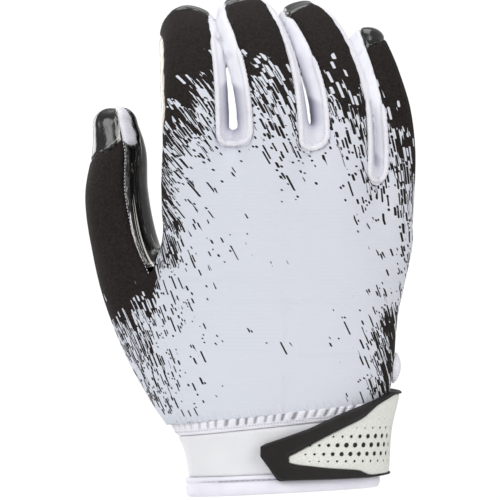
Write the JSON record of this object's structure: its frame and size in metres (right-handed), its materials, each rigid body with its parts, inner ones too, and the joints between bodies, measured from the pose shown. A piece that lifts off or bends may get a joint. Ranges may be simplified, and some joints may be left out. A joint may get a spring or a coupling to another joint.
{
  "type": "football receiver glove",
  "caption": "Right-hand receiver glove with printed stretch back, glossy grip palm, side strips between the fingers, knit cuff and pierced wrist strap.",
  "frame": {"origin": "centre of the opening for the hand, at the hem", "axes": "+Z from the wrist to the fingertips, +X towards the little finger, -Y out of the back of the hand, palm towards +Y"},
  "size_m": [0.1381, 0.0745, 0.2102],
  "materials": {
    "print_cloth": "white compression knit with a black printed pattern",
    "strip_knit": "pale lavender white stretch knit",
    "binding_knit": "white brushed elastic knit",
    "cuff_knit": "smooth white knit over thin foam",
    "grip_coating": "glossy black silicone coating on knit",
    "moulded_strap": "satin black moulded rubber",
    "pierced_panel": "smooth off-white pierced panel"
  },
  "bodies": {
    "root": {"back_shell": "print_cloth", "palm": "grip_coating", "thumb_palm": "grip_coating", "thumb_side_strip": "strip_knit", "side_strip_index_middle": "strip_knit", "gap_binding_index_middle": "binding_knit", "side_strip_middle_ring": "strip_knit", "gap_binding_middle_ring": "binding_knit", "side_strip_ring_little": "strip_knit", "gap_binding_ring_little": "binding_knit", "cuff_band": "cuff_knit", "wrist_seam_band": "binding_knit", "hem": "binding_knit", "strap_backing": "moulded_strap", "strap_frame": "moulded_strap", "strap_panel": "pierced_panel", "side_tab": "binding_knit"}
  },
  "joints": []
}
